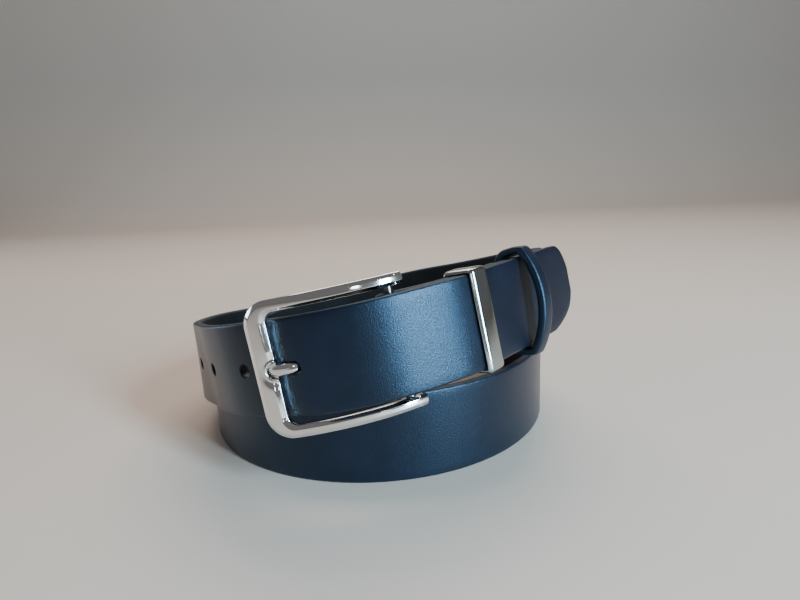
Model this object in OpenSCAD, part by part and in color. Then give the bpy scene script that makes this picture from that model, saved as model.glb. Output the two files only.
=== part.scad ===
// Leather belt, coiled in two turns and fastened, standing on its lower edge.
// Millimetres. The origin is on the table under the middle of the whole belt, +Z is up and the
// buckle faces -Y. The strap through the buckle lies in one tilted plane, called the run here.

/* [Strap] */
// Width of the leather
strap_w = 35; // [30:1:40]
// Thickness of the leather
strap_t = 3.5; // [3:0.1:4]
// Thickness where the leather is skived to fold round the bar
fold_t = 2.8; // [2:0.1:3]
// Thickness of the turned-back end
tail_t = 2.4; // [2:0.1:2.8]
// Chamfer along the four long edges
edge_c = 0.8; // [0.4:0.1:1.2]
// Air between layers that lie together
layer_gap = 0.4; // [0.3:0.05:0.6]

/* [Holes] */
// Number of adjusting holes
hole_count = 5; // [3:1:7]
// Distance between holes along the strap
hole_pitch = 25; // [20:1:30]
// Radius of an adjusting hole
hole_r = 2.4; // [2:0.1:3]
// Distance from the uncut end of the strap to the hole in use
first_hole = 141; // [136:1:156]

/* [Run] */
// Height of the run's middle above the table
run_z = 56; // [54:1:60]
// Distance of the run's middle in front of the origin
run_front = 85; // [81:1:89]
// Middle of the coil, to the side of the origin and behind it
coil_at = [-2, 5];
// Lean of the run about the X axis
run_lean = -7.5; // [-9:0.5:-6]
// Climb of the run to the right, about the Y axis
run_climb = -9.5; // [-11:0.5:-8]
// Radius of the bend left of the buckle, to the middle of the strap
bend_r = 75; // [74:0.5:76]
// Direction of the straight length through both keepers
flat_turn = 46; // [44:1:48]
// Distance of that length's middle line from the bend centre
flat_r = 68; // [67:0.5:69]

/* [Buckle] */
// Position of the pivot bar from the bend centre, along and across the run
bar_at = [8, -66.3];
// Radius of the pivot bar
bar_r = 1.9; // [1.7:0.05:2]
// Distance from the pivot bar to the middle of the crossbar
frame_len = 47; // [46:0.5:49]
// Turn of the frame against the run
frame_turn = 3; // [0:0.5:6]
// Width over the arms at the crossbar end
frame_w = 49; // [47:0.5:50]
// Width over the arms at the open end
frame_end_w = 48.4; // [46.2:0.1:49]
// Width of each arm
arm_w = 4.4; // [4:0.1:4.6]
// Thickness of the frame
frame_t = 3.4; // [3:0.1:3.6]
// Radius of the frame's curve along the strap
frame_r = 65; // [60:5:100]
// Width of the crossbar along the strap
crossbar_w = 8; // [7:0.5:8.5]
// Radius of the outer corners
corner_r = 9; // [8:0.5:10]
// Radius of the window's corners
window_r = 3.5; // [3:0.5:4]
// Radius of the eye round the bar at the end of each arm
eye_r = 3.6; // [3.4:0.1:4]
// Radial clearance of the bar in its eyes
eye_gap = 0.03; // [0.02:0.01:0.08]

/* [Prong] */
// Width of the prong
prong_w = 4.2; // [3.8:0.1:4.4]
// Radius of the loop round the bar
loop_r = 3.7; // [3.6:0.1:3.9]
// Radial clearance of the loop on the bar
loop_gap = 0.08; // [0.05:0.01:0.1]
// Width of the slot for the loop in the fold
slot_w = 5.8; // [5.2:0.1:6.4]
// Depth of the rest for the prong in the crossbar
rest_depth = 1.5; // [0.8:0.1:1.8]
// Radius of that rest, a half round at the crossbar's inner edge
rest_r = 2.8; // [2.5:0.1:3.2]

/* [Keepers] */
// Place of the metal keeper along the straight length
metal_x = -14.5; // [-14.5:0.5:-10]
// Length of the metal keeper along the strap
metal_len = 9.6; // [8:0.2:10]
// Wall of the metal keeper
metal_wall = 1.3; // [1:0.1:1.6]
// Clearance inside the metal keeper
metal_gap = 0.6; // [0.4:0.05:0.8]
// Place of the leather keeper along the straight length
leather_x = 15.5; // [15:0.5:24]
// Slant of the leather keeper on the strap
leather_turn = 5; // [-5:0.5:5]
// Length of the leather keeper along the strap
leather_len = 6.4; // [6:0.2:12]
// Wall of the leather keeper
leather_wall = 3.2; // [2.5:0.1:3.5]
// How far the front of the leather keeper bows off the strap
leather_bow = 5.4; // [1:0.2:6]
// Clearance inside the leather keeper
leather_gap = 0.7; // [0.5:0.1:1.2]

/* [Turn-back screws] */
// Place of the screws along the straight length
screw_x = 0.5; // [0:0.5:3]
// Distance of each screw from the middle of the strap
screw_off = 9; // [8:0.5:11]
// Radius of the screw posts
post_r = 2; // [1.6:0.1:2.4]
// Radius of the heads
head_r = 3.8; // [3.4:0.1:4.4]
// Thickness of the heads
head_t = 0.9; // [0.8:0.1:1]

/* [Hidden] */
run_at = [coil_at.x, -run_front, run_z];
run_tilt = [run_lean, run_climb, 0];
// Depths of the layers under the middle of the free end: main strap, turned-back end, all.
main_in = strap_t + layer_gap;
tail_in = main_in + strap_t / 2 + 0.35 + tail_t / 2;
tail_face = tail_in + tail_t / 2;
fold_r = bar_r + 0.4 + fold_t / 2;
// Opening of the leather keeper across the layers, and the legs of its staple.
keeper_h = strap_t + main_in + 2 * leather_gap;
keeper_w = strap_w + 2 * leather_gap;
staple_off = 3;
leather_color = [0.09, 0.10, 0.14];
metal_color = [0.78, 0.79, 0.80];

// Directions and points of the run in the belt's own axes.
function run_dir(v) =
    let (a = run_lean, b = run_climb, z = v.y * sin(a) + v.z * cos(a))
    [v.x * cos(b) + z * sin(b), v.y * cos(a) - v.z * sin(a), z * cos(b) - v.x * sin(b)];
function run_pt(p) = run_at + run_dir([p.x, p.y + bend_r, 0]);
// A station holds the middle of the strap, the way its width points and its thickness.
function in_run_station(p, t) = concat(run_pt(p), run_dir([0, 0, 1]), [t]);
function bend_station(a, r, t) = in_run_station(r * [sin(a), -cos(a)], t);
// Along the straight length: distance along, distance out.
function flat_station(x, y, t) =
    let (a = flat_turn, r = flat_r + y)
    in_run_station([r * sin(a) + x * cos(a), x * sin(a) - r * cos(a)], t);
function fold_station(a) = in_run_station(bar_at + fold_r / 0.955 * [-sin(a), cos(a)], fold_t);
// The curve cuts inside its stations, so the coil's lie further out by the factor for 15 degrees.
coil_pull = 3 / (2 + cos(15));
function coil_station(a, r, z, lean) =
    concat([coil_at.x + coil_pull * r * sin(a), coil_at.y - coil_pull * r * cos(a), z],
           [sin(lean) * sin(a), -sin(lean) * cos(a), cos(lean)], [strap_t]);
function pick(a, part) = lookup(a, [for (s = coil_shape) [s[0], s[part]]]);

tail_stations = [for (p = [[14, 0], [9, 0], [4, 0], [-1, 0], [-6, 0], [-11, 0], [-16, -0.1],
                           [-21, -0.35], [-26, -1.7], [-31, -4.4], [-36, -8]])
    flat_station(p.x, p.y - tail_in, p.x < -24 ? fold_t : tail_t)];
fold_stations = [for (a = [15:30:195]) fold_station(a)];
main_stations = concat(
    [for (p = [[-39.3, -6.9], [-34.5, -4.8], [-29.7, -3], [-25, -1.3], [-20.5, -0.35], [-16, -0.05]])
        flat_station(p.x, p.y - main_in, min(strap_t, fold_t + (p.x + 40) / 20))],
    [for (x = [-11:5:29]) flat_station(x, -main_in, strap_t)]);
// Azimuth round the coil's middle from the front, radius, height and lean of the coil.
coil_shape = [[75, 79, 59.5, -4], [90, 77.5, 55.5, -3], [105, 72.5, 51, -2], [120, 69.5, 46, -1],
              [135, 67.5, 41.5, -1], [150, 67, 38, -1], [180, 68.5, 29.5, -1], [210, 71.5, 23, -3],
              [240, 74, 19, -3], [270, 75, 17.5, 0], [330, 76, 17.5, 0], [420, 76.5, 17.5, 0],
              [450, 77, 17.5, 0], [480, 79, 17.5, 0], [510, 81, 17.5, 0], [540, 82.5, 17.5, 0],
              [570, 83, 19, 2], [600, 82.5, 23, 3], [630, 81, 29.5, 2], [645, 81, 33.5, 0]];
coil_stations = [for (a = [75:15:645]) coil_station(a, pick(a, 1), pick(a, 2), pick(a, 3))];
// Angle and radius of the free length round the bend: under the crossbar it is pressed in,
// then it rises over the prong, the bar and the fold.
free_shape = [[-70, 75], [-64, 75], [-58, 75], [-52, 75], [-47, 75], [-42, 74.6], [-37.5, 74.2],
              [-33.5, 73.9], [-30.5, 73.9], [-27.5, 74.4], [-24.5, 75.6], [-21.5, 76.4],
              [-18, 76.5], [-13, 76.3], [-8, 76], [-3, 75.6], [2, 75], [7, 74.2]];
free_stations = concat(
    [for (s = free_shape) bend_station(s[0], s[1], strap_t)],
    [for (p = [[-41, -7.5], [-36, -5.2], [-31, -3.2], [-26, -1.4], [-21, -0.4], [-16, -0.05]])
        flat_station(p.x, p.y, strap_t)],
    [for (x = [-11:6:61]) flat_station(x, 0, strap_t)]);
stations = concat(tail_stations, fold_stations, main_stations, coil_stations, free_stations);

// A smooth curve led by the stations, with its direction.
function curve(c, i, t) =
    (pow(1 - t, 3) * c[i - 1] + (3 * t * t * t - 6 * t * t + 4) * c[i]
     + (-3 * t * t * t + 3 * t * t + 3 * t + 1) * c[i + 1] + t * t * t * c[i + 2]) / 6;
function heading(c, i, t) =
    (-(1 - t) * (1 - t) * c[i - 1] + (3 * t * t - 4 * t) * c[i]
     + (-3 * t * t + 2 * t + 1) * c[i + 1] + t * t * c[i + 2]) / 2;
function first3(v) = [v[0], v[1], v[2]];
function next3(v) = [v[3], v[4], v[5]];
function unit(v) = v / norm(v);
function gap_to_next(i) = norm(first3(stations[i + 1]) - first3(stations[i]));
// Each slice: middle, heading, width direction, thickness.
function slice(i, t) =
    let (s = curve(stations, i, t), h = unit(first3(heading(stations, i, t))),
         w = next3(s), u = unit(w - (w * h) * h))
    [first3(s), h, u, s[6]];
last_i = len(stations) - 3;
slices = concat(
    [for (i = [1:last_i]) let (n = max(1, round(gap_to_next(i) / 5)))
        for (j = [0:n - 1]) slice(i, j / n)],
    [slice(last_i, 1)]);
last_s = len(slices) - 1;
// Distance of each slice from the point of the free end.
steps = [for (k = [0:last_s - 1]) norm(slices[k + 1][0] - slices[k][0])];
function add_up(v, k = 0, sum = 0) =
    k == len(v) ? [sum] : concat([sum], add_up(v, k + 1, sum + v[k]));
run_up = add_up(steps);
strap_len = run_up[last_s];
function at_dist(d, part) =
    [for (c = [0:2]) lookup(strap_len - d, [for (k = [0:last_s]) [run_up[k], slices[k][part][c]]])];

// Places children on the strap: X along it, -Y to its outer face, Z across its width.
module on_strap(d) {
    p = at_dist(d, 0);
    h = unit(at_dist(d, 1));
    w = at_dist(d, 2);
    u = unit(w - (w * h) * h);
    n = cross(u, h);
    multmatrix([[h.x, n.x, u.x, p.x], [h.y, n.y, u.y, p.y], [h.z, n.z, u.z, p.z], [0, 0, 0, 1]])
        children();
}
// Places children at the centre of the bend.
module in_run() {
    translate(run_at) rotate(run_tilt) translate([0, bend_r, 0]) children();
}
// X along the straight length, -Y out of it, from the middle of the free end.
module at_flat(x, y) {
    in_run() rotate([0, 0, flat_turn]) translate([x, -flat_r - y, 0]) children();
}
module at_bar() {
    in_run() translate([bar_at.x, bar_at.y, 0]) children();
}
module at_frame() {
    at_bar() rotate([0, 0, frame_turn]) children();
}

function section(t) =
    let (y = t / 2, z = strap_w / 2, c = min(edge_c, t / 2 - 0.4))
    [[-y, -z + c], [-y, z - c], [-y + c, z], [y - c, z], [y, z - c], [y, -z + c], [y - c, -z],
     [-y + c, -z]];
module strap_skin() {
    m = 8;
    points = [for (s = slices) let (n = cross(s[2], s[1]))
        for (q = section(s[3])) s[0] + q[0] * n + q[1] * s[2]];
    sides = [for (k = [0:last_s - 1]) for (j = [0:m - 1])
        let (a = k * m + j, b = k * m + (j + 1) % m) for (f = [[a, b, b + m], [a, b + m, a + m]]) f];
    first_cap = [for (j = [m - 1:-1:0]) j];
    last_cap = [for (j = [0:m - 1]) last_s * m + j];
    polyhedron(points, concat(sides, [first_cap, last_cap]), convexity = 10);
}
// Everything outside the rounded point of the free end. Its upper corner is the fuller one.
module point_cut() {
    w = strap_w / 2;
    rotate([90, 0, 0]) linear_extrude(height = 20, center = true)
        polygon([[-9, w + 0.01], [-7, w - 1.8], [-5, w - 4.8], [-3.4, w - 9], [-2.5, w - 13],
                 [-2.2, w - 17], [-2.6, w - 21], [-4, w - 25], [-7, w - 28.6], [-11, w - 31.2],
                 [-16, w - 33.4], [-21, -w - 0.01], [-21, -w - 5], [5, -w - 5], [5, w + 5],
                 [-9, w + 5]]);
}
module strap() {
    color(leather_color)
    difference() {
        strap_skin();
        on_strap(0) point_cut();
        for (k = [1:hole_count - 1]) on_strap(first_hole + k * hole_pitch)
            rotate([90, 0, 0]) cylinder(r = hole_r, h = 12, center = true, $fn = 48);
        prong_way();
        at_bar() rotate([0, 0, 15]) translate([-1, 0, 0])
            cube([11.4, 11.4, slot_w], center = true);
        for (z = [-screw_off, screw_off]) screw_way(z);
    }
}
// The hole in use, stretched along the prong, with room for the prong to lift.
module prong_way() {
    at_frame() translate([-35.5, -2.9, 0]) rotate([0, 0, 9]) rotate([90, 0, 0])
        linear_extrude(height = 5.4, center = true) {
            translate([-1.2, 0]) square([17.6, 2 * hole_r], center = true);
            translate([7.6, 0]) circle(r = hole_r, $fn = 48);
        }
}
module screw_way(z) {
    at_flat(screw_x, 0) translate([0, 0, z]) rotate([-90, 0, 0]) {
        translate([0, 0, main_in - 1]) cylinder(r = post_r + 0.15, h = 9, $fn = 48);
        translate([0, 0, main_in - strap_t / 2 - 0.2])
            cylinder(r = head_r + 0.15, h = head_t + 0.3, $fn = 48);
    }
}

// Frame: a curved plate, cut to a U that is open towards the keepers.
module frame_outline() {
    x0 = -frame_len - crossbar_w / 2;
    x1 = 4.4;
    w0 = frame_w / 2;
    w1 = frame_end_w / 2;
    difference() {
        union() {
            polygon([[x0 + corner_r, -w0], [x1, -w1], [x1, w1], [x0 + corner_r, w0]]);
            translate([x0, -w0 + corner_r]) square([corner_r + 1, 2 * (w0 - corner_r)]);
            for (s = [-1, 1]) translate([x0 + corner_r, s * (w0 - corner_r)])
                circle(r = corner_r, $fn = 96);
        }
        xi = x0 + crossbar_w;
        polygon([[xi + window_r, -w0 + arm_w], [x1 + 1, -w1 + arm_w], [x1 + 1, w1 - arm_w],
                 [xi + window_r, w0 - arm_w]]);
        translate([xi, -w0 + arm_w + window_r])
            square([window_r + 1, 2 * (w0 - arm_w - window_r)]);
        for (s = [-1, 1]) translate([xi + window_r, s * (w0 - arm_w - window_r)])
            circle(r = window_r, $fn = 96);
    }
}
module frame() {
    drop = frame_r - sqrt(frame_r * frame_r - frame_len * frame_len / 4);
    color(metal_color)
    at_frame() difference() {
        union() {
            intersection() {
                rotate([90, 0, 0]) linear_extrude(height = 30, center = true) frame_outline();
                translate([-frame_len / 2, frame_r - drop, 0]) difference() {
                    cylinder(r = frame_r + frame_t / 2, h = 60, center = true, $fn = 256);
                    cylinder(r = frame_r - frame_t / 2, h = 70, center = true, $fn = 256);
                }
            }
            for (s = [-1, 1]) translate([0, 0, s * (frame_end_w - arm_w - 0.5) / 2])
                cylinder(r = eye_r, h = arm_w - 0.5, center = true, $fn = 96);
        }
        cylinder(r = bar_r + eye_gap, h = 60, center = true, $fn = 96);
        translate([crossbar_w / 2 - frame_len, rest_depth - frame_t / 2, 0]) rotate([90, 0, 0])
            cylinder(r = rest_r, h = 10, $fn = 96);
    }
}
module pivot_bar() {
    color(metal_color) at_frame()
        cylinder(r = bar_r, h = frame_end_w - 0.6, center = true, $fn = 96);
}
module prong() {
    color(metal_color)
    at_frame() difference() {
        union() {
            cylinder(r = loop_r, h = prong_w, center = true, $fn = 96);
            linear_extrude(height = prong_w, center = true)
                polygon([[0, -3.7], [-8, -3.8], [-18, -3.6], [-27, -3.2], [-32, -3.5], [-37, -4.2],
                         [-41, -4.2], [-43.4, -3.5], [-44.6, -2.2], [-44.7, -1.4], [-44, -0.9],
                         [-42, -1.5], [-39, -1.9], [-36, -1.7], [-32, -1.1], [-27, -0.9],
                         [-18, -1.3], [-8, -1.5], [-3, 0]]);
        }
        cylinder(r = bar_r + loop_gap, h = 10, center = true, $fn = 96);
    }
}

// A band of rounded rectangle section, X along the strap.
module rounded(w, h, r) {
    square([w - 2 * r, h], center = true);
    square([w, h - 2 * r], center = true);
    for (x = [-1, 1]) for (y = [-1, 1]) translate([x * (w / 2 - r), y * (h / 2 - r)])
        circle(r = r, $fn = 64);
}
module band(len, h, w, wall, outer_round, inner_round) {
    rotate([0, 90, 0]) rotate([0, 0, 90]) linear_extrude(height = len, center = true) difference() {
        rounded(h + 2 * wall, w + 2 * wall, outer_round);
        rounded(h, w, inner_round);
    }
}
// It holds the free end, the main strap and the turned-back end.
module metal_keeper() {
    h = strap_t / 2 + tail_face;
    color(metal_color) at_flat(metal_x, strap_t / 2 - h / 2)
        band(metal_len, h + 2 * metal_gap, strap_w + 2 * metal_gap, metal_wall, 2, 0.7);
}
// It holds the free end and the main strap, and its front bows off them; its two ends meet behind.
module at_leather_keeper() {
    at_flat(leather_x, -main_in / 2) rotate([0, leather_turn, 0]) children();
}
// Room inside it, or its outside if it is grown by the wall.
module bowed(grow, corner) {
    w = keeper_w / 2;
    bow_r = (w * w + leather_bow * leather_bow) / (2 * leather_bow);
    intersection() {
        translate([-leather_bow / 2, 0])
            rounded(keeper_h + leather_bow + 2 * grow, keeper_w + 2 * grow, corner);
        translate([bow_r - leather_bow - keeper_h / 2, 0]) circle(r = bow_r + grow, $fn = 256);
    }
}
module leather_keeper() {
    back = keeper_h / 2 + leather_wall;
    color(leather_color) at_leather_keeper() difference() {
        rotate([0, 90, 0]) rotate([0, 0, 90])
            linear_extrude(height = leather_len, center = true) difference() {
                bowed(leather_wall, 6);
                bowed(0, 0.9);
            }
        translate([0, back, 0]) cube([20, 3 * leather_wall, 0.4], center = true);
        for (z = [-staple_off, staple_off]) translate([0, back, z]) rotate([90, 0, 0])
            cylinder(r = 0.6, h = 2 * leather_wall - 1, center = true, $fn = 32);
    }
}
// The staple that joins the two ends of the leather keeper behind the strap.
module keeper_staple() {
    back = keeper_h / 2 + leather_wall;
    color(metal_color) at_leather_keeper() {
        translate([0, back + 0.45, 0]) cube([1.2, 0.8, 7.4], center = true);
        for (z = [-staple_off, staple_off]) translate([0, back - 0.8, z]) rotate([90, 0, 0])
            cylinder(r = 0.5, h = 2.6, center = true, $fn = 32);
    }
}

// Screw and post: the post's head is let into the outer face of the main strap.
module at_screw(z) {
    color(metal_color) at_flat(screw_x, 0) translate([0, 0, z]) rotate([-90, 0, 0]) children();
}
module post(z) {
    top = main_in - strap_t / 2 + 0.1;
    at_screw(z) difference() {
        union() {
            translate([0, 0, top]) cylinder(r = head_r, h = head_t, $fn = 64);
            translate([0, 0, top]) cylinder(r = post_r, h = tail_face - top, $fn = 64);
        }
        translate([0, 0, top + 1.6]) cylinder(r = 1.25, h = 9, $fn = 48);
    }
}
module screw(z) {
    foot = tail_face + 0.1;
    at_screw(z) difference() {
        union() {
            translate([0, 0, foot]) cylinder(r = head_r, h = head_t, $fn = 64);
            translate([0, 0, foot - 3.6]) cylinder(r = 1.2, h = 4, $fn = 48);
        }
        translate([0, 0, foot + head_t]) cube([5, 0.9, 0.8], center = true);
    }
}
module post_upper() { post(screw_off); }
module post_lower() { post(-screw_off); }
module screw_upper() { screw(screw_off); }
module screw_lower() { screw(-screw_off); }

strap();
frame();
pivot_bar();
prong();
metal_keeper();
leather_keeper();
keeper_staple();
post_upper();
post_lower();
screw_upper();
screw_lower();
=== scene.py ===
import math

import bmesh
import bpy
import numpy as np
from mathutils import Matrix, Vector


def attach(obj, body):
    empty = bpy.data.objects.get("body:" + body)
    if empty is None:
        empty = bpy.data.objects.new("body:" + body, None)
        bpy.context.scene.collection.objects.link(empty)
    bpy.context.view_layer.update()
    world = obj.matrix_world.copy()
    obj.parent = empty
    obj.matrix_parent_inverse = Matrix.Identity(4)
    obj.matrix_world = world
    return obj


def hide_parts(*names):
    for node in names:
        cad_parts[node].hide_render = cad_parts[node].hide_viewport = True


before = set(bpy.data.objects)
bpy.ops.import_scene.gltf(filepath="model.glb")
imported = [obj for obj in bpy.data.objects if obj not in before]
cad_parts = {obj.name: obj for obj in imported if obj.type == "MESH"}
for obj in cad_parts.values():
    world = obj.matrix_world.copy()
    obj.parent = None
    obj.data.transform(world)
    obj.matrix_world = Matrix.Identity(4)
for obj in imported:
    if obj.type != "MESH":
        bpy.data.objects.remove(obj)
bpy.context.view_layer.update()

# Sizes are in millimetres up to the mesh helpers, which turn them into Blender's metres.
MM = 0.001

# ---------------------------------------------------------------- the belt's own axes
COIL_AT = np.array([-2.0, 5.0])          # middle of the coil
RUN_AT = np.array([-2.0, -85.0, 56.0])   # front point of the free end's bend
LEAN, CLIMB = math.radians(-7.5), math.radians(-9.5)  # how the buckled run is tilted
BEND_R = 75.0                            # radius of the free end's bend
FLAT_R = 68.0                            # the straight length's distance from the bend's centre
FLAT_TURN = math.radians(46)             # its turn about the bend's centre
BAR_AT = (8.0, -66.3)                    # the pivot bar, from the bend's centre
FRAME_TURN = math.radians(3)             # the buckle frame about the pivot bar
SLANT = math.radians(5)                  # the leather keeper on the strap

# ---------------------------------------------------------------- the strap's sizes
STRAP_W, STRAP_T = 35.0, 3.5
FOLD_T, TAIL_T = 2.8, 2.4                # thickness round the pivot bar, and of the tail layer
MAIN_IN = STRAP_T + 0.4                  # middle of the main layer, inwards of the free end's
TAIL_IN = MAIN_IN + STRAP_T / 2 + 0.35 + TAIL_T / 2
TAIL_FACE = TAIL_IN + TAIL_T / 2
BAR_R, BAR_GAP = 1.9, 0.4
FOLD_R = BAR_R + BAR_GAP + FOLD_T / 2    # middle of the fold's leather, from the pivot bar
HOLE_PITCH, FIRST_HOLE, HOLE_R, HOLE_COUNT = 25.0, 141.0, 2.4, 5
CROSSBAR_D = 148.5                       # where the crossbar lies, from the uncut end
POST_X, POST_Z = 0.5, 9.0                # the screw posts, along and across the straight length

# Material indices on the leather pieces. Cutters leave an edge behind.
SKIN, EDGE, BACK = 0, 1, 2


def smooth_step(x):
    x = np.clip(x, 0, 1)
    return x * x * (3 - 2 * x)


def turn_x(a):
    return np.array([[1, 0, 0], [0, math.cos(a), -math.sin(a)], [0, math.sin(a), math.cos(a)]])


def turn_y(a):
    return np.array([[math.cos(a), 0, math.sin(a)], [0, 1, 0], [-math.sin(a), 0, math.cos(a)]])


def turn_z(a):
    return np.array([[math.cos(a), -math.sin(a), 0], [math.sin(a), math.cos(a), 0], [0, 0, 1]])


def angles(count, shift=0.0):
    """Angles of count points round a circle."""
    return 2 * np.pi * (np.arange(count) + shift) / count


RUN = turn_y(CLIMB) @ turn_x(LEAN)


def in_run(p):
    """Points given from the bend's centre, in the run's own axes, to the belt's axes."""
    p = np.asarray(p, float)
    return RUN_AT + (p + [0, BEND_R, 0]) @ RUN.T


def flat_points(p, x, y, turn=None):
    """Points given from a place on the straight length: X along it, -Y out of it, Z across it."""
    p = np.asarray(p, float)
    if turn is not None:
        p = p @ turn.T
    m = turn_z(FLAT_TURN)
    return in_run(p @ m.T + m @ np.array([x, -FLAT_R - y, 0]))


def bar_points(p, turn):
    """Points given from the pivot bar and turned about it."""
    return in_run(np.asarray(p, float) @ turn_z(turn).T + [BAR_AT[0], BAR_AT[1], 0])


def frame_points(p):
    """Points given from the pivot bar, in the frame's own axes."""
    return bar_points(p, FRAME_TURN)


# ---------------------------------------------------------------- mesh helpers
def tidy(obj, sharp):
    """Welds the mesh, turns its faces outwards, and shades it smooth up to an angle."""
    bm = bmesh.new()
    bm.from_mesh(obj.data)
    bmesh.ops.remove_doubles(bm, verts=bm.verts, dist=1e-6)
    bmesh.ops.recalc_face_normals(bm, faces=bm.faces)
    bm.to_mesh(obj.data)
    bm.free()
    obj.data.polygons.foreach_set("use_smooth", [True] * len(obj.data.polygons))
    obj.data.set_sharp_from_angle(angle=math.radians(sharp))
    obj.data.update()


def tube(n, m, closed=False):
    """Faces of a skin over n rings of m points each. Open skins get end caps."""
    faces = []
    for i in range(n if closed else n - 1):
        a, b = i * m, ((i + 1) % n) * m
        for j in range(m):
            k = (j + 1) % m
            faces.append((a + j, a + k, b + k, b + j))
    if not closed:
        faces.append(tuple(range(m - 1, -1, -1)))
        faces.append(tuple(range((n - 1) * m, n * m)))
    return faces


def skin(name, rings, place, mats=(), kinds=None, sharp=35.0, closed=False):
    """Object with a skin over rings of points, which place() puts in the belt's axes.

    kinds gives the material index of each strip that runs from ring to ring. The caps are EDGE.
    """
    rings = np.asarray(rings, float)
    n, m = rings.shape[:2]
    mesh = bpy.data.meshes.new(name)
    mesh.from_pydata([tuple(v) for v in place(rings.reshape(-1, 3)) * MM], [], tube(n, m, closed))
    for mat in mats:
        mesh.materials.append(mat)
    if kinds is not None:
        index = kinds * (n - 1) + [EDGE, EDGE]
        mesh.polygons.foreach_set("material_index", np.asarray(index, dtype=np.int32))
    obj = bpy.data.objects.new(name, mesh)
    bpy.context.scene.collection.objects.link(obj)
    tidy(obj, sharp)
    return obj


def cutter(name, rings, place):
    """A closed solid that cuts leather, so its faces are EDGE."""
    return skin(name, rings, place, kinds=[EDGE] * len(rings[0]))


def turned_cutter(name, profile, place):
    """A cutter turned about the inward way: profile is [(radius, inward), ...]."""
    rings = [[(r * math.cos(a), h, r * math.sin(a)) for a in angles(40)] for r, h in profile]
    return cutter(name, rings, place)


def cut(obj, cutters, operation="DIFFERENCE"):
    for c in cutters:
        mod = obj.modifiers.new("cut", "BOOLEAN")
        mod.operation, mod.solver, mod.object = operation, "EXACT", c
    bpy.context.view_layer.update()
    mesh = bpy.data.meshes.new_from_object(obj.evaluated_get(bpy.context.evaluated_depsgraph_get()))
    obj.modifiers.clear()
    old, obj.data = obj.data, mesh
    mesh.name = obj.name
    bpy.data.meshes.remove(old)
    for c in cutters:
        bpy.data.objects.remove(c)


# ---------------------------------------------------------------- materials
# Texture scales are per metre and bump distances in metres.
def nodes_of(name):
    mat = bpy.data.materials.new(name)
    mat.use_nodes = True
    nt = mat.node_tree
    bsdf = nt.nodes["Principled BSDF"]
    coord = nt.nodes.new("ShaderNodeTexCoord").outputs["Object"]
    return mat, nt, bsdf, coord


def noise(nt, coord, scale, detail, rough):
    n = nt.nodes.new("ShaderNodeTexNoise")
    n.inputs["Scale"].default_value = scale
    n.inputs["Detail"].default_value = detail
    n.inputs["Roughness"].default_value = rough
    nt.links.new(coord, n.inputs["Vector"])
    return n.outputs["Fac"]


def voronoi(nt, coord, scale):
    n = nt.nodes.new("ShaderNodeTexVoronoi")
    n.inputs["Scale"].default_value = scale
    nt.links.new(coord, n.inputs["Vector"])
    return n.outputs["Distance"]


def ramp(nt, fac, lo, hi, a=0.0, b=1.0):
    """fac from lo to hi becomes a to b."""
    n = nt.nodes.new("ShaderNodeMapRange")
    n.inputs["From Min"].default_value = lo
    n.inputs["From Max"].default_value = hi
    n.inputs["To Min"].default_value = a
    n.inputs["To Max"].default_value = b
    nt.links.new(fac, n.inputs["Value"])
    return n.outputs["Result"]


def mixed(nt, fac, a, b):
    n = nt.nodes.new("ShaderNodeMix")
    n.data_type = "RGBA"
    nt.links.new(fac, n.inputs["Factor"])
    n.inputs["A"].default_value = (*a, 1)
    n.inputs["B"].default_value = (*b, 1)
    return n.outputs["Result"]


def bump(nt, bsdf, layers):
    """layers: [(height socket, distance, strength), ...], coarse first."""
    normal = None
    for height, distance, strength in layers:
        n = nt.nodes.new("ShaderNodeBump")
        n.inputs["Distance"].default_value = distance
        n.inputs["Strength"].default_value = strength
        nt.links.new(height, n.inputs["Height"])
        if normal is not None:
            nt.links.new(normal, n.inputs["Normal"])
        normal = n.outputs["Normal"]
    nt.links.new(normal, bsdf.inputs["Normal"])


def leather(name, dark, light, rough, tint, grain=1.0):
    """Smooth dyed leather: faint patches, a slow wave, and fine pores."""
    mat, nt, bsdf, coord = nodes_of(name)
    patches = noise(nt, coord, 60, 4, 0.6)
    pores = voronoi(nt, coord, 2500)
    fine = noise(nt, coord, 3600, 2, 0.5)
    wave = noise(nt, coord, 420, 2, 0.5)
    nt.links.new(mixed(nt, ramp(nt, patches, 0.35, 0.7), dark, light), bsdf.inputs["Base Color"])
    nt.links.new(ramp(nt, patches, 0.3, 0.7, rough - 0.012, rough + 0.015), bsdf.inputs["Roughness"])
    bsdf.inputs["Specular IOR Level"].default_value = 0.5
    bsdf.inputs["Specular Tint"].default_value = (*tint, 1)
    bsdf.inputs["Coat Weight"].default_value = 0.12
    bsdf.inputs["Coat Roughness"].default_value = 0.35
    bump(nt, bsdf, [(wave, 0.00003, 0.04 * grain), (pores, 0.00012, 0.6 * grain),
                    (fine, 0.00005, 0.6 * grain)])
    return mat


def leather_edge(name, dark, light, tint):
    """A painted cut edge, with fibres that run along it."""
    mat, nt, bsdf, coord = nodes_of(name)
    streak = nt.nodes.new("ShaderNodeMapping")
    streak.inputs["Scale"].default_value = (1, 1, 6)
    nt.links.new(coord, streak.inputs["Vector"])
    fibres = noise(nt, streak.outputs["Vector"], 700, 4, 0.6)
    nt.links.new(mixed(nt, ramp(nt, fibres, 0.35, 0.75), dark, light), bsdf.inputs["Base Color"])
    nt.links.new(ramp(nt, fibres, 0.3, 0.7, 0.48, 0.66), bsdf.inputs["Roughness"])
    bsdf.inputs["Specular Tint"].default_value = (*tint, 1)
    bsdf.inputs["Coat Weight"].default_value = 0.06
    bsdf.inputs["Coat Roughness"].default_value = 0.28
    bump(nt, bsdf, [(fibres, 0.00008, 0.5)])
    return mat


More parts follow.
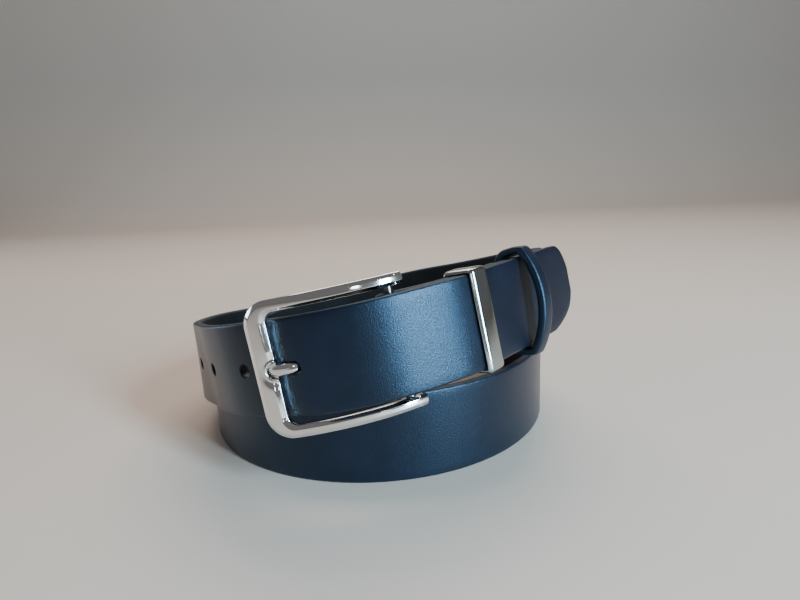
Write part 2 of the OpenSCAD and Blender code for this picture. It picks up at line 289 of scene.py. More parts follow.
def leather_back(name, dark, light):
    """The rough inner side of the leather."""
    mat, nt, bsdf, coord = nodes_of(name)
    fibres = noise(nt, coord, 900, 6, 0.7)
    patches = noise(nt, coord, 90, 3, 0.5)
    nt.links.new(mixed(nt, ramp(nt, patches, 0.3, 0.7), dark, light), bsdf.inputs["Base Color"])
    nt.links.new(ramp(nt, fibres, 0.3, 0.7, 0.66, 0.82), bsdf.inputs["Roughness"])
    bsdf.inputs["Specular IOR Level"].default_value = 0.3
    bump(nt, bsdf, [(fibres, 0.00015, 0.6)])
    return mat


def metal(name, colour, rough, spots=0.0):
    """Plated or bare metal with faint smears. spots is how much rougher its specks are."""
    mat, nt, bsdf, coord = nodes_of(name)
    smear = noise(nt, coord, 140, 4, 0.6)
    worn = tuple(c * 0.93 for c in colour)
    nt.links.new(mixed(nt, ramp(nt, smear, 0.4, 0.7), colour, worn), bsdf.inputs["Base Color"])
    bsdf.inputs["Metallic"].default_value = 1.0
    roughness = ramp(nt, smear, 0.35, 0.7, rough, rough + 0.05)
    if spots:
        specks = noise(nt, coord, 2400, 2, 0.5)
        add = nt.nodes.new("ShaderNodeMath")
        add.operation = "ADD"
        nt.links.new(roughness, add.inputs[0])
        nt.links.new(ramp(nt, specks, 0.72, 0.78, 0.0, spots), add.inputs[1])
        roughness = add.outputs[0]
    nt.links.new(roughness, bsdf.inputs["Roughness"])
    bump(nt, bsdf, [(noise(nt, coord, 60, 2, 0.5), 0.00005, 0.03)])
    return mat


NAVY = ((0.0036, 0.0042, 0.0088), (0.0056, 0.0066, 0.0138))
TINT = (0.40, 0.68, 1.0)
strap_skin = leather("strap_leather", *NAVY, 0.29, TINT)
strap_edge = leather_edge("strap_edge", (0.006, 0.005, 0.006), (0.026, 0.018, 0.015), TINT)
strap_back = leather_back("strap_back", (0.004, 0.004, 0.005), (0.009, 0.009, 0.010))
keeper_skin = leather("keeper_leather", *NAVY, 0.38, TINT, 0.8)
keeper_edge = leather_edge("keeper_edge", (0.006, 0.008, 0.013), (0.014, 0.018, 0.027), TINT)
nickel = metal("nickel_plate", (0.80, 0.785, 0.765), 0.06)
keeper_plate = metal("keeper_plate", (0.44, 0.49, 0.48), 0.09, spots=0.25)
wire_steel = metal("staple_wire", (0.55, 0.55, 0.56), 0.25)
bar_steel = metal("bar_steel", (0.22, 0.22, 0.23), 0.2)
screw_plate = metal("screw_plate", (0.70, 0.69, 0.67), 0.12)


# ---------------------------------------------------------------- the strap's path
# A station is a row of seven: the strap's middle, the way across its width, its thickness.
def run_station(x, y, thick):
    return [*in_run([x, y, 0]), *(RUN @ [0, 0, 1]), thick]


def flat_station(x, y, thick):
    a, r = FLAT_TURN, FLAT_R + y
    return run_station(r * math.sin(a) + x * math.cos(a), x * math.sin(a) - r * math.cos(a), thick)


def bend_station(deg, r):
    a = math.radians(deg)
    return run_station(r * math.sin(a), -r * math.cos(a), STRAP_T)


# The curve runs a little inside its stations, so a circle's stations stand further out.
FOLD_PULL = 1 / 0.955
COIL_STEP = 15
COIL_PULL = 3 / (2 + math.cos(math.radians(COIL_STEP)))


def fold_station(deg):
    a, r = math.radians(deg), FOLD_R * FOLD_PULL
    return run_station(BAR_AT[0] - r * math.sin(a), BAR_AT[1] + r * math.cos(a), FOLD_T)


# The coil: degrees round it, radius, height, lean in degrees.
COIL = np.array([
    [75, 79, 59.5, -4], [90, 77.5, 55.5, -3], [105, 72.5, 51, -2], [120, 69.5, 46, -1],
    [135, 67.5, 41.5, -1], [150, 67, 38, -1], [180, 68.5, 29.5, -1], [210, 71.5, 23, -3],
    [240, 74, 19, -3], [270, 75, 17.5, 0], [330, 76, 17.5, 0], [420, 76.5, 17.5, 0],
    [450, 77, 17.5, 0], [480, 79, 17.5, 0], [510, 81, 17.5, 0], [540, 82.5, 17.5, 0],
    [570, 83, 19, 2], [600, 82.5, 23, 3], [630, 81, 29.5, 2], [645, 81, 33.5, 0]])


def coil_station(deg):
    r, z, lean = (float(np.interp(deg, COIL[:, 0], COIL[:, k])) for k in (1, 2, 3))
    a, lean = math.radians(deg), math.radians(lean)
    return [COIL_AT[0] + COIL_PULL * r * math.sin(a), COIL_AT[1] - COIL_PULL * r * math.cos(a), z,
            math.sin(lean) * math.sin(a), -math.sin(lean) * math.cos(a), math.cos(lean), STRAP_T]


# Each layer's stations along the straight length, and how far out they lie from its middle.
TAIL = [(14, 0), (9, 0), (4, 0), (-1, 0), (-6, 0), (-11, 0), (-16, -0.1), (-21, -0.35),
        (-26, -1.7), (-31, -4.4), (-36, -8)]
MAIN = [(-39.3, -6.9), (-34.5, -4.8), (-29.7, -3), (-25, -1.3), (-20.5, -0.35), (-16, -0.05)]
FREE_END = [(-41, -7.5), (-36, -5.2), (-31, -3.2), (-26, -1.4), (-21, -0.4), (-16, -0.05)]
# Degrees round the bend, and radius.
FREE_BEND = [(-70, 75), (-64, 75), (-58, 75), (-52, 75), (-47, 75), (-42, 74.6), (-37.5, 74.2),
             (-33.5, 73.9), (-30.5, 73.9), (-27.5, 74.4), (-24.5, 75.6), (-21.5, 76.4),
             (-18, 76.5), (-13, 76.3), (-8, 76), (-3, 75.6), (2, 75), (7, 74.2)]
TAIL_THICK_TO = -24       # from the fold up to here the tail layer is as thick as the fold
MAIN_THIN_AT = -40        # the main layer is as thin as the fold here, and gains 1 mm in 20

stations = [flat_station(x, y - TAIL_IN, FOLD_T if x < TAIL_THICK_TO else TAIL_T) for x, y in TAIL]
stations += [fold_station(a) for a in range(15, 196, 30)]
stations += [flat_station(x, y - MAIN_IN, min(STRAP_T, FOLD_T + (x - MAIN_THIN_AT) / 20)) for x, y in MAIN]
stations += [flat_station(x, -MAIN_IN, STRAP_T) for x in range(-11, 30, 5)]
stations += [coil_station(a) for a in range(75, 646, COIL_STEP)]
stations += [bend_station(a, r) for a, r in FREE_BEND]
stations += [flat_station(x, y, STRAP_T) for x, y in FREE_END]
stations += [flat_station(x, 0, STRAP_T) for x in range(-11, 62, 6)]


def spline(c, step):
    """Uniform cubic curve led by the stations: rows of middle, heading, width way, thickness."""
    out = []
    for i in range(1, len(c) - 2):
        n = max(1, int(round(np.linalg.norm(c[i + 1, :3] - c[i, :3]) / step)))
        for t in np.arange(n) / n if i < len(c) - 3 else np.arange(n + 1) / n:
            p = ((1 - t) ** 3 * c[i - 1] + (3 * t**3 - 6 * t * t + 4) * c[i]
                 + (-3 * t**3 + 3 * t * t + 3 * t + 1) * c[i + 1] + t**3 * c[i + 2]) / 6
            h = (-(1 - t) ** 2 * c[i - 1] + (3 * t * t - 4 * t) * c[i]
                 + (-3 * t * t + 2 * t + 1) * c[i + 1] + t * t * c[i + 2]) / 2
            h = h[:3] / np.linalg.norm(h[:3])
            w = p[3:6] - (p[3:6] @ h) * h
            out.append([*p[:3], *h, *(w / np.linalg.norm(w)), p[6]])
    return np.array(out)


drawn = spline(np.array(stations), 1.5)
along = np.concatenate([[0], np.cumsum(np.linalg.norm(np.diff(drawn[:, :3], axis=0), axis=1))])
STRAP_LEN = along[-1]
from_end = STRAP_LEN - along

# The free end is eased where its bend runs out into the straight length.
EASE_FROM, EASE_TO, EASE_FADE, EASE_REACH = 24, 104, 16, 7.0


def eased(rows):
    """Each row between the two ends is moved towards a parabola through its neighbours."""
    out = rows.copy()
    for i in np.nonzero((from_end > EASE_FROM) & (from_end < EASE_TO))[0]:
        apart = along - along[i]
        weight = np.sqrt(np.exp(-((apart / EASE_REACH) ** 2)) + 1e-12)
        share = float(smooth_step(min(from_end[i] - EASE_FROM, EASE_TO - from_end[i]) / EASE_FADE))
        fit = np.polyfit(apart, rows[:, :9], 2, w=weight)[-1]
        out[i, :9] = rows[i, :9] * (1 - share) + fit * share
    return out


path = eased(drawn)


def at_dist(d):
    """Middle, heading, width way, inward normal and thickness at a distance from the uncut end."""
    row = np.array([np.interp(STRAP_LEN - d, along, path[:, k]) for k in range(10)])
    h = row[3:6] / np.linalg.norm(row[3:6])
    w = row[6:9] - (row[6:9] @ h) * h
    w /= np.linalg.norm(w)
    return row[:3], h, w, np.cross(w, h), float(row[9])


def on_strap(d):
    """Maps points (along, inward, across) at that distance to the belt's axes."""
    p, h, w, n, _ = at_dist(d)
    return lambda q: p + q @ np.array([h, n, w])


# ---------------------------------------------------------------- the strap
# Outline of the rounded point: distance from the uncut end, upper and lower edge.
POINT = np.array([[24, 17.5, -17.5], [21, 17.5, -17.4], [16, 17.5, -15.9], [11, 17.4, -13.7],
                  [9, 17.1, -12.5], [7, 15.7, -11.1], [5.6, 13.8, -9.5], [4.4, 11.4, -7.7],
                  [3.4, 8.5, -5.6], [2.8, 5.9, -4.0], [2.4, 3.6, -2.6], [2.2, 1.2, -1.0]])
POINT_FROM, POINT_TO = POINT[0, 0], POINT[-1, 0]
# The point's rings stand closer together towards its end.
POINT_RINGS = [24, 22.5, 21, 19.5, 18, 16.5, 15, 13.5, 12, 11, 10, 9.3, 8.6, 7.9, 7.2, 6.6, 6.0,
               5.5, 5.0, 4.6, 4.2, 3.9, 3.6, 3.3, 3.05, 2.85, 2.65, 2.5, 2.4, 2.3, 2.2]
THIN_END = 0.9            # the point loses half its thickness over this length
EDGE_R = 0.9              # rounding of the strap's edges
FACE_POINTS = 13
# The skin wraps two strips round each outer corner, and the edges run from there to the inner face.
STRAP_KINDS = [SKIN] * (FACE_POINTS + 1) + [EDGE] * 8 + [BACK] * (FACE_POINTS - 1) + [EDGE] * 8 + [SKIN] * 2


def strap_section(thick, low, top, c):
    """Points (inward, across): outer face, upper edge, inner face, lower edge, rounded by c."""
    t = thick / 2
    across = np.linspace(low + c, top - c, FACE_POINTS)
    arc = np.radians([22.5, 45, 67.5])
    section = [(-t, z) for z in across]
    section += [(-t + c - c * math.cos(a), top - c + c * math.sin(a)) for a in arc]
    section += [(-t + c, top), (0, top + 0.02), (t - c, top)]
    section += [(t - c + c * math.sin(a), top - c + c * math.cos(a)) for a in arc]
    section += [(t, z) for z in across[::-1]]
    section += [(t - c + c * math.cos(a), low + c - c * math.sin(a)) for a in arc]
    section += [(t - c, low), (0, low - 0.02), (-t + c, low)]
    section += [(-t + c - c * math.sin(a), low + c - c * math.cos(a)) for a in arc]
    return np.array(section)


def strap_ring(d):
    p, _, w, n, thick = at_dist(d)
    top, low = STRAP_W / 2, -STRAP_W / 2
    if d < POINT_FROM:
        top, low = (float(np.interp(-d, -POINT[:, 0], POINT[:, k])) for k in (1, 2))
    if d < POINT_TO + THIN_END:
        thick *= 0.5 + 0.5 * min(1.0, math.sqrt(max(0.0, d - POINT_TO) / THIN_END))
    c = max(0.05, min(EDGE_R, thick / 2 - 0.3, (top - low) / 2 - 0.02))
    q = strap_section(thick, low, top, c)
    # Under the crossbar the leather is drawn in, at the prong and towards both edges.
    near = math.exp(-(((d - CROSSBAR_D) / 5.0) ** 2))
    if near > 0.002:
        z = q[:, 1]
        at_prong = 0.55 * np.exp(-((z / 3.6) ** 2))
        at_edges = 0.6 * smooth_step((np.abs(z) - 12.5) / 5)
        q[:, 0] += near * (at_prong + at_edges)
    return p + q[:, :1] * n + q[:, 1:] * w


AXIS_R = 0.001            # a turned cutter's ends close to a point when it is welded


def hole_cutter(d):
    """A punched hole, flared at both faces."""
    flared = HOLE_R + 0.42
    wide, far = flared + 1.6, 3.4        # the cutter's ends, clear of the leather
    profile = [(AXIS_R, -far), (wide, -far), (flared, -1.8), (HOLE_R, -1.38),
               (HOLE_R, 1.38), (flared, 1.8), (wide, far), (AXIS_R, far)]
    return turned_cutter("hole", profile, on_strap(d))


def screw_way(z):
    """The way of one screw post through both layers, with a counterbore for its head."""
    head_r, shank_r, bore_depth, length = 3.95, 2.15, 1.2, 9
    start = MAIN_IN - STRAP_T / 2 - 0.2  # just outside the main layer's face
    bored, end = start + bore_depth, start + length
    profile = [(AXIS_R, start), (head_r, start), (head_r, bored), (shank_r, bored),
               (shank_r, end), (AXIS_R, end)]
    return turned_cutter("screw_way", profile, lambda q: flat_points(q + [0, 0, z], POST_X, 0))


def prong_way():
    """The hole in use, drawn out along the prong."""
    back, middle, outer, inner = -10, 7.6, -1.7, 2.7
    outline = [(back, -HOLE_R), (middle, -HOLE_R)]
    outline += [(middle + HOLE_R * math.sin(a), -HOLE_R * math.cos(a))
                for a in np.linspace(0.2, math.pi - 0.2, 14)]
    outline += [(middle, HOLE_R), (back, HOLE_R)]
    rings = [[(x, y, z) for x, z in outline] for y in (outer, inner)]
    turn, at = turn_z(math.radians(9)), [-35.5, -2.9, 0]
    return cutter("prong_way", rings, lambda q: frame_points(q @ turn.T + at))


def loop_way():
    """The slot in the fold where the prong's loop passes."""
    low_x, high_x, half_y, half_z, turn = -6.7, 4.7, 5.7, 2.9, math.radians(15)
    corners = ((-half_y, -half_z), (half_y, -half_z), (half_y, half_z), (-half_y, half_z))
    rings = [[(x, y, z) for y, z in corners] for x in (low_x, high_x)]
    return cutter("loop_way", rings, lambda q: bar_points(q, turn))


def build_strap():
    even = [d for d in from_end if d > POINT_FROM + 0.8]  # clear of the point's first ring
    rings = [strap_ring(d) for d in even + POINT_RINGS]
    strap = skin("strap_body", rings, np.asarray, (strap_skin, strap_edge, strap_back), STRAP_KINDS, 50)
    cutters = [hole_cutter(FIRST_HOLE + k * HOLE_PITCH) for k in range(HOLE_COUNT)]
    cutters += [prong_way(), loop_way()]
    cutters += [screw_way(z) for z in (-POST_Z, POST_Z)]
    cut(strap, cutters)
    tidy(strap, 40)
    return strap


# ---------------------------------------------------------------- the buckle
FRAME_LEN = 47.0                         # pivot bar to the crossbar's middle
FRAME_W, END_W = 49.0, 48.4              # across the frame at the crossbar and at the arm ends
ARM_W, CROSS_W, FRAME_T = 4.4, 8.0, 3.4
ARM_PAST = 4.4                           # how far the arms reach past the pivot bar
ARM_THICKENING = 1.3                     # outwards, towards the arms' ends
THICKEN_FROM, THICKEN_OVER = -40, 44     # from this place along the frame, over this length
CURVE_R = 65.0                           # the frame's own bend
CORNER_R, WINDOW_R, EYE_R = 9.0, 3.5, 3.6
CROSS_OUT, CROSS_IN = -FRAME_LEN - CROSS_W / 2, -FRAME_LEN + CROSS_W / 2

# The front's edges: distance in from the edge, and depth below the face.
INNER_EDGE = np.array([(0, 1.45), (0.04, 1.25), (0.14, 1.10), (0.28, 1.02), (0.42, 0.97), (0.7, 0.78),
                       (1.0, 0.55), (1.3, 0.32), (1.55, 0.14), (1.68, 0.07), (1.85, 0.02)])
OUTER_EDGE = np.array([(2.2, 0.01), (2.05, 0.04), (1.92, 0.10), (1.7, 0.24), (1.3, 0.50), (0.9, 0.76),
                       (0.5, 1.02), (0.32, 1.15), (0.16, 1.30), (0.05, 1.50), (0, 1.75)])
FULL_EDGE_W = 6.2                        # where the rim is narrower, its edges shrink with it
RIM_POINTS = 26                          # between the two edges


def on_curve(x, z, h):
    """From the frame's flat outline to its curved plate: h is height over the middle surface."""
    s = (np.asarray(x) + FRAME_LEN / 2) / CURVE_R
    c = np.sqrt(1 - s * s)
    drop = math.sqrt(CURVE_R**2 - FRAME_LEN**2 / 4)
    return np.stack([x + h * s, drop - CURVE_R * c - h * c, z + 0 * s], -1)


def frame_outline():
    """Rows (inner x, inner z, outer x, outer z) across the rim, from one arm's end to the other's."""
    out_z, in_z = FRAME_W / 2, FRAME_W / 2 - ARM_W
    end_out, end_in = END_W / 2, END_W / 2 - ARM_W
    rows = []
    for t in np.linspace(0, 1, 46):
        rows.append((ARM_PAST + (CROSS_IN + WINDOW_R - ARM_PAST) * t, end_in + (in_z - end_in) * t,
                     ARM_PAST + (CROSS_OUT + CORNER_R - ARM_PAST) * t, end_out + (out_z - end_out) * t))
    for a in np.radians(np.linspace(90, 180, 26)[1:]):
        c, s = math.cos(a), math.sin(a)
        rows.append((CROSS_IN + WINDOW_R + WINDOW_R * c, in_z - WINDOW_R + WINDOW_R * s,
                     CROSS_OUT + CORNER_R + CORNER_R * c, out_z - CORNER_R + CORNER_R * s))
    # The crossbar's rows are closer together at the pocket in its middle.
    for t in np.concatenate([np.linspace(1, 0.42, 16)[1:], np.linspace(0.42, 0, 46)[1:]]):
        rows.append((CROSS_IN, (in_z - WINDOW_R) * t, CROSS_OUT, (out_z - CORNER_R) * t))
    half = np.array(rows)
    return np.concatenate([half, half[-2::-1] * [1, -1, 1, -1]])


def pocketed(h, r):
    """The rest for the prong's tip: a half round pocket with a raised lip, in a shallow dish."""
    dish = 0.42 * np.exp(-(((r - 3.6) / 2.3) ** 2))
    lip = 0.62 * np.exp(-(((r - 3.35) / 0.42) ** 2))
    wall = smooth_step((r - 2.62) / 0.36)
    floor = FRAME_T / 2 - 1.5
    return floor + (h - dish + lip - floor) * wall


def frame_section(x_i, z_i, x_e, z_e):
    """Ring of points round the rim: the bevelled front from the inner edge, then the back."""
    top, crown = FRAME_T / 2, 0.12
    width = math.hypot(x_e - x_i, z_e - z_i)
    k = min(1.0, width / FULL_EDGE_W)
    flat = np.linspace(k * INNER_EDGE[-1, 0], width - k * OUTER_EDGE[0, 0], RIM_POINTS + 2)[1:-1]
    d = np.concatenate([k * INNER_EDGE[:, 0], flat, width - k * OUTER_EDGE[:, 0]])
    h = top - np.concatenate([k * INNER_EDGE[:, 1], np.zeros(RIM_POINTS), k * OUTER_EDGE[:, 1]])
    h += crown * (1 - (2 * d / width - 1) ** 2)
    if x_i < CROSS_IN + 0.5:
        h = pocketed(h, np.hypot(x_i + (x_e - x_i) * d / width - CROSS_IN, z_i + (z_e - z_i) * d / width))
    else:
        h += ARM_THICKENING * smooth_step((x_i - THICKEN_FROM) / THICKEN_OVER)
    d = np.concatenate([d, [width, width - 0.12, width - 0.45, width * 0.5, 0.45, 0.12, 0.0]])
    h = np.concatenate([h, [-1.25, -1.52, -top, -top, -top, -1.52, -1.25]])
    return on_curve(x_i + (x_e - x_i) * d / width, z_i + (z_e - z_i) * d / width, h)


def frame_eye(side):
    """An arm's eye, cut flat on its outer side, so that the thickened arm covers most of it."""
    length, chamfer, flat_y = ARM_W - 0.5, 0.25, -1.75
    z = side * ((END_W - ARM_W) / 2 - chamfer)
    e = length / 2
    profile = ((EYE_R - chamfer, -e), (EYE_R, chamfer - e), (EYE_R, e - chamfer), (EYE_R - chamfer, e))
    rings = [[(r * math.cos(a), max(flat_y, r * math.sin(a)), z + h) for a in angles(72, 0.5)]
             for r, h in profile]
    return skin("eye", rings, frame_points, (nickel,))


def eye_bore(low_z):
    """A cutter for the bar's way through one eye, skewed so that its facets don't meet the eye's."""
    radius, length, skew = BAR_R + 0.03, 12.0, 0.013
    rings = [[(radius * math.cos(a + skew), radius * math.sin(a + skew), low_z + h) for a in angles(58)]
             for h in (0, length)]
    return skin("bore", rings, frame_points, (nickel,))


def build_frame():
    rings = np.array([frame_section(*row) for row in frame_outline()])
    # Round off the arm ends: the end ring shrinks, and the next one moves to 0.3 mm from it.
    for end, before in ((0, 1), (-1, -2)):
        step = rings[before] - rings[end]
        step /= np.linalg.norm(step, axis=1)[:, None]
        rings[before] = rings[end] + step * 0.3
        middle = rings[end].mean(0)
        rings[end] = middle + (rings[end] - middle) * 0.93
    obj = skin("buckle_frame", rings, frame_points, (nickel,), None, 38)
    cut(obj, [frame_eye(side) for side in (-1, 1)], "UNION")
    tidy(obj, 34)
    cut(obj, [eye_bore(z) for z in (-27, 15)])
    tidy(obj, 34)
    return obj


LOOP_R, LOOP_T, PRONG_W = 2.84, 1.72, 4.2
PRONG_LINE = np.array([  # along, out, thickness, width
    [0, -LOOP_R, LOOP_T, PRONG_W], [-3, -2.82, 1.85, PRONG_W], [-8, -2.5, 2.2, PRONG_W],
    [-18, -2.0, 2.3, PRONG_W], [-27, -1.55, 2.3, PRONG_W], [-31, -1.5, 2.3, PRONG_W],
    [-33.6, -1.62, 2.35, PRONG_W], [-35.2, -2.15, 2.4, PRONG_W], [-36.4, -2.78, 2.45, PRONG_W],
    [-38.5, -3.12, 2.5, PRONG_W], [-41, -2.98, 2.5, 4.15], [-42.6, -2.66, 2.35, 4.0],
    [-43.7, -2.32, 2.0, 3.6], [-44.35, -2.05, 1.55, 2.9], [-44.7, -1.9, 0.9, 1.8]])
TIP_ROWS = 5                             # the last rows of the line, where the tip rounds off
# Right side of the prong's section, in half widths and half thicknesses, from the outer face down.
PRONG_SIDE = [(0.16, 1.0), (0.50, 1.0), (0.62, 0.92), (0.80, 0.62), (0.93, 0.34), (1.0, 0.0),
              (0.98, -0.4), (0.90, -0.72), (0.72, -0.92), (0.45, -1.0)]


def build_prong():
    loop = [[LOOP_R * math.cos(a), LOOP_R * math.sin(a), LOOP_T, PRONG_W]
            for a in np.radians(np.linspace(166, -90, 40)[:-1])]
    t = np.concatenate([[0], np.cumsum(np.hypot(*np.diff(PRONG_LINE[:, :2], axis=0).T))])
    fine = np.concatenate([np.linspace(0, t[-TIP_ROWS], 60), np.linspace(t[-TIP_ROWS], t[-1], 22)[1:]])
    blade = [[np.interp(s, t, PRONG_LINE[:, k]) for k in range(4)] for s in fine]
    rough = np.array(loop + blade)
    # The blade's bends are smoothed, but the loop and the very tip stay as drawn.
    kernel = np.array([1, 2, 3, 2, 1]) / 9
    blade_rows = slice(len(loop) + 1, -3)
    rows = rough.copy()
    for k in range(4):
        rows[blade_rows, k] = np.convolve(rough[:, k], kernel, "same")[blade_rows]
    ways = np.gradient(rows[:, :2], axis=0)
    ways /= np.linalg.norm(ways, axis=1)[:, None]
    left_side = [(-x, y) for x, y in PRONG_SIDE[::-1]]
    section = np.array(left_side[-2:] + PRONG_SIDE + [(0.0, -1.0)] + left_side[:-2])
    rings = []
    for (x, y, thick, width), (dx, dy) in zip(rows, ways):
        # The outer side lies to the left of the way from the loop to the tip.
        up = section[:, 1] * thick / 2
        rings.append(np.stack([x - dy * up, y + dx * up, section[:, 0] * width / 2], -1))
    return skin("buckle_prong", rings, frame_points, (nickel,), None, 42)


# ---------------------------------------------------------------- the keepers
def rounded_rect(a, b, r, count=12, side=1):
    """Outline with half sides a and b: count steps round a corner, side steps along a side."""
    corners = []
    for cx, cy, start in ((a - r, b - r, 0), (r - a, b - r, 90), (r - a, r - b, 180), (a - r, r - b, 270)):
        turn = np.radians(start + 90 * np.arange(count + 1) / count)
        corners.append(np.stack([cx + r * np.cos(turn), cy + r * np.sin(turn)], 1))
    points = []
    for corner, following in zip(corners, corners[1:] + corners[:1]):
        points += list(corner)
        points += [corner[-1] + (following[0] - corner[-1]) * k / side for k in range(1, side)]
    return np.array(points)


def band(inside, outside, profile):
    """Rings of a loop's wall: profile is [(along the belt, 0 inside to 1 outside), ...]."""
    return [[(x, *(p + (q - p) * f)) for x, f in profile] for p, q in zip(inside, outside)]


METAL_LEN, METAL_WALL, METAL_GAP, METAL_X = 9.6, 1.3, 0.6, -14.5


def build_metal_keeper():
    h = STRAP_T / 2 + TAIL_FACE
    a, b, e = h / 2 + METAL_GAP, STRAP_W / 2 + METAL_GAP, METAL_LEN / 2
    inside = rounded_rect(a, b, 0.7, side=10)
    outside = rounded_rect(a + METAL_WALL, b + METAL_WALL, 2.0, side=10)
    # A crowned face with a lip rolled out at each edge.
    bore = [(-e + 0.5, -0.18), (-e + 1.4, 0), (0, 0), (e - 2.0, 0), (e - 1.2, -0.18)]
    right = [(e - 0.8, -0.1), (e - 0.7, 0.12), (e - 0.7, 0.50), (e - 0.75, 0.60), (e - 0.86, 0.67)]
    face = [(e - 1.4, 0.86), (e - 1.55, 0.90), (e - 1.7, 0.925), (e - 2.0, 0.94), (e - 3.2, 0.985),
            (0.6, 1.0), (-1.4, 0.985), (-e + 1.6, 0.96), (-e + 1.2, 0.93), (-e + 0.95, 0.86)]
    left = [(-e + 0.1, 0.34), (-e - 0.1, 0.20), (-e - 0.18, 0.04), (-e - 0.15, -0.12), (-e + 0.05, -0.2)]
    return skin("metal_loop", band(inside, outside, bore + right + face + left),
                lambda q: flat_points(q, METAL_X, STRAP_T / 2 - h / 2),
                (keeper_plate,), None, 30, closed=True)


KEEPER_LEN, KEEPER_WALL, KEEPER_GAP, KEEPER_X = 6.4, 3.2, 0.7, 15.5
KEEPER_BOW = 5.4                         # how far its front bows out
KEEPER_HALF = (STRAP_T + MAIN_IN + 2 * KEEPER_GAP) / 2  # half its opening, from front to back


def keeper_points(p):
    """Points given from the leather keeper's middle, in its own slanted axes."""
    return flat_points(p, KEEPER_X, -MAIN_IN / 2, turn_y(SLANT))


def keeper_radius(ang, grow, corner):
    """Distance from the middle to the keeper's outline: a box whose front is cut by an arc."""
    half_w = STRAP_W / 2 + KEEPER_GAP
    box = rounded_rect(KEEPER_HALF + KEEPER_BOW / 2 + grow, half_w + grow, corner, 16) - [KEEPER_BOW / 2, 0]
    box_ang = np.arctan2(box[:, 1], box[:, 0]) % (2 * math.pi)
    order = np.argsort(box_ang)
    to_box = np.interp(ang, box_ang[order], np.hypot(box[:, 0], box[:, 1])[order], period=2 * math.pi)
    bow_r = (half_w**2 + KEEPER_BOW**2) / (2 * KEEPER_BOW)
    c = bow_r - KEEPER_BOW - KEEPER_HALF
    along_x = np.cos(ang)
    to_arc = c * along_x + np.sqrt((bow_r + grow) ** 2 - c * c * (1 - along_x * along_x))
    return np.minimum(to_box, to_arc)


def build_leather_keeper():
    # The outlines start and end at the butt joint, and are smoothed over a short way.
    joint = 0.2 / (KEEPER_HALF + KEEPER_WALL)
    ang = np.linspace(joint, 2 * math.pi - joint, 2400)
    kernel = np.hanning(61) / np.hanning(61).sum()
    outlines = []
    for grow, corner in ((0, 0.9), (KEEPER_WALL, 6)):
        r = keeper_radius(ang, grow, corner)
        r[30:-30] = np.convolve(r, kernel, "same")[30:-30]
        outlines.append(np.stack([r * np.cos(ang), r * np.sin(ang)], 1))
    middle = (outlines[0] + outlines[1]) / 2
    run = np.concatenate([[0], np.cumsum(np.linalg.norm(np.diff(middle, axis=0), axis=1))])
    row = np.arange(len(run))
    pick = np.interp(np.linspace(0, run[-1], 190), run, row)
    inside, outside = (np.stack([np.interp(pick, row, p[:, k]) for k in (0, 1)], 1) for p in outlines)
    e = KEEPER_LEN / 2
    bore = [(-e + 0.4, 0.0), (-e / 2, 0), (0, 0), (e / 2, 0), (e - 0.4, 0.0)]
    right = [(e - 0.12, 0.04), (e, 0.14), (e + 0.05, 0.4), (e, 0.66)]
    face = [(e - 0.14, 0.80), (e - 0.45, 0.91), (e - 0.95, 0.965), (e / 2, 0.99), (0, 1.0),
            (-e / 2, 0.99), (-e + 0.95, 0.965), (-e + 0.45, 0.91), (-e + 0.14, 0.80)]
    left = [(-e, 0.66), (-e - 0.05, 0.4), (-e, 0.14), (-e + 0.12, 0.04)]
    kinds = [EDGE] * 8 + [SKIN] * 10 + [EDGE] * 4
    return skin("leather_loop", band(inside, outside, bore + right + face + left), keeper_points,
                (keeper_skin, keeper_edge), kinds, 60)


def build_staple():
    """A wire staple over the leather keeper's joint."""
    back, half_z, bend_r = KEEPER_HALF + KEEPER_WALL, 3.0, 0.5
    crown = back + 0.45
    line = [(back - 1.9, -half_z), (back - 0.4, -half_z)]
    line += [(crown - bend_r + bend_r * math.sin(a), bend_r - half_z - bend_r * math.cos(a))
             for a in np.linspace(0, math.pi / 2, 7)]
    line = np.array(line + [(y, -z) for y, z in line[::-1]])
    ways = np.gradient(line, axis=0)
    ways /= np.linalg.norm(ways, axis=1)[:, None]
    radii = [0.3] + [0.46] * (len(line) - 2) + [0.3]
    rings = [[(r * math.cos(a), y - dz * r * math.sin(a), z + dy * r * math.sin(a)) for a in angles(16)]
             for r, (y, z), (dy, dz) in zip(radii, line, ways)]
    return skin("staple", rings, keeper_points, (wire_steel,), None, 50)


# ---------------------------------------------------------------- pieces on their bodies
for obj, body, slot, node in (
    (build_strap(), "strap", "strap_leather", "strap"),
    (build_frame(), "frame", "nickel", "frame"),
    (build_prong(), "prong", "nickel", "prong"),
    (build_metal_keeper(), "metal_keeper", "keeper_metal", "metal_keeper"),
    (build_leather_keeper(), "leather_keeper", "keeper_leather", "leather_keeper"),
    (build_staple(), "leather_keeper", "steel_wire", "keeper_staple"),
):
    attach(obj, body)
    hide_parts(node)

for name, mat in (("pivot_bar", bar_steel), ("post_upper", screw_plate), ("post_lower", screw_plate),
                  ("screw_upper", screw_plate), ("screw_lower", screw_plate)):
    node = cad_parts[name]
    node.data.materials.clear()
    node.data.materials.append(mat)


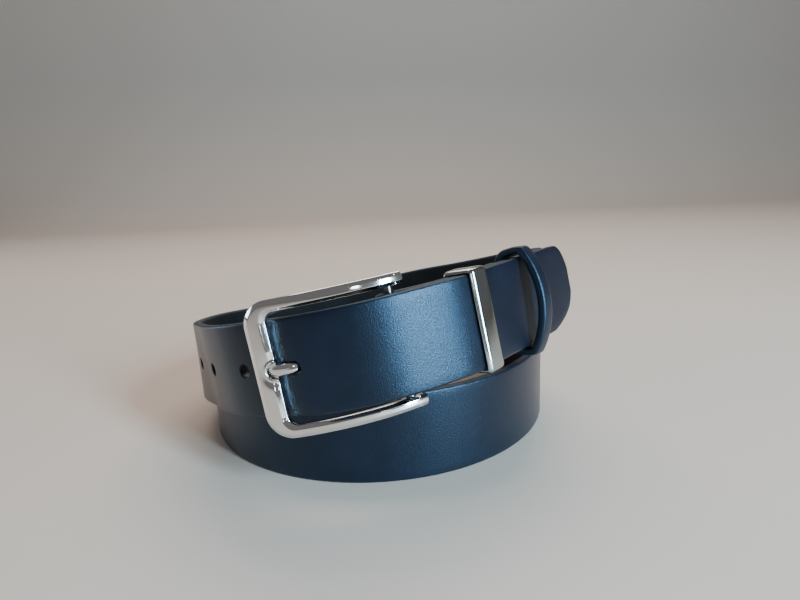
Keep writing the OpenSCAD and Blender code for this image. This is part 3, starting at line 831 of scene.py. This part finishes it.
# ---------------------------------------------------------------- floor, light and camera, in metres
def build_floor():
    """A pale floor that sweeps up into a wall behind the belt."""
    front, curve_from, curve_r, wall_top, half_width = -3.0, 0.9, 0.6, 3.0, 4.0
    sweep = [(front, 0.0)]
    sweep += [(curve_from + curve_r * math.sin(a), curve_r - curve_r * math.cos(a))
              for a in np.radians(np.linspace(0, 90, 25))]
    sweep += [(curve_from + curve_r, wall_top)]
    mesh = bpy.data.meshes.new("floor")
    mesh.from_pydata([(x, y, z) for y, z in sweep for x in (-half_width, half_width)], [],
                     [(2 * k, 2 * k + 1, 2 * k + 3, 2 * k + 2) for k in range(len(sweep) - 1)])
    mesh.polygons.foreach_set("use_smooth", [True] * len(mesh.polygons))
    mat = bpy.data.materials.new("floor")
    mat.use_nodes = True
    bsdf = mat.node_tree.nodes["Principled BSDF"]
    bsdf.inputs["Base Color"].default_value = (0.64, 0.50, 0.41, 1)
    bsdf.inputs["Roughness"].default_value = 0.55
    mesh.materials.append(mat)
    obj = bpy.data.objects.new("floor", mesh)
    bpy.context.scene.collection.objects.link(obj)
    return obj


floor = build_floor()

world = bpy.data.worlds.new("studio")
bpy.context.scene.world = world
world.use_nodes = True
background = world.node_tree.nodes["Background"]
background.inputs["Color"].default_value = (0.34, 0.33, 0.34, 1)
background.inputs["Strength"].default_value = 0.5


def area(name, azimuth, elevation, distance, size, power, colour):
    """A soft lamp that looks at the belt. Azimuth 0 is in front of it, angles are in degrees."""
    light = bpy.data.lights.new(name, "AREA")
    light.shape, light.size, light.size_y = "RECTANGLE", size[0], size[1]
    light.energy, light.color = power, colour
    obj = bpy.data.objects.new(name, light)
    a, e = math.radians(azimuth), math.radians(elevation)
    way = Vector((math.sin(a) * math.cos(e), -math.cos(a) * math.cos(e), math.sin(e)))
    obj.location = Vector((0, 0, 0.05)) + way * distance
    obj.rotation_euler = way.to_track_quat("Z", "Y").to_euler()
    bpy.context.scene.collection.objects.link(obj)


area("window", 40, 18, 1.1, (0.15, 0.80), 35, (0.48, 0.78, 1.0))
area("front", 18, 8, 1.5, (0.12, 0.16), 0.8, (0.80, 0.92, 1.0))
area("side", -112, 12, 1.1, (0.26, 0.40), 2.6, (0.62, 0.82, 1.0))
area("top", 175, 60, 0.95, (0.9, 0.6), 8.5, (1.0, 0.94, 0.88))

CAMERA_AT = Vector((-0.002, -0.27605, 0.11935))
YAW, PITCH, ROLL = 0.0451, 0.2370, -0.0440   # radians: to the right, down, and about its own axis

camera_data = bpy.data.cameras.new("camera")
camera_data.sensor_width, camera_data.lens = 36, 27
camera_data.clip_start, camera_data.clip_end = 0.01, 20
camera = bpy.data.objects.new("camera", camera_data)
bpy.context.scene.collection.objects.link(camera)
bpy.context.scene.camera = camera
ahead = Vector((math.sin(YAW) * math.cos(PITCH), math.cos(YAW) * math.cos(PITCH), -math.sin(PITCH)))
right = Vector((math.cos(YAW), -math.sin(YAW), 0))
up = right.cross(ahead)
right, up = (math.cos(ROLL) * right + math.sin(ROLL) * up, math.cos(ROLL) * up - math.sin(ROLL) * right)
placed = Matrix((right, up, -ahead)).transposed().to_4x4()
placed.translation = CAMERA_AT
camera.matrix_world = placed
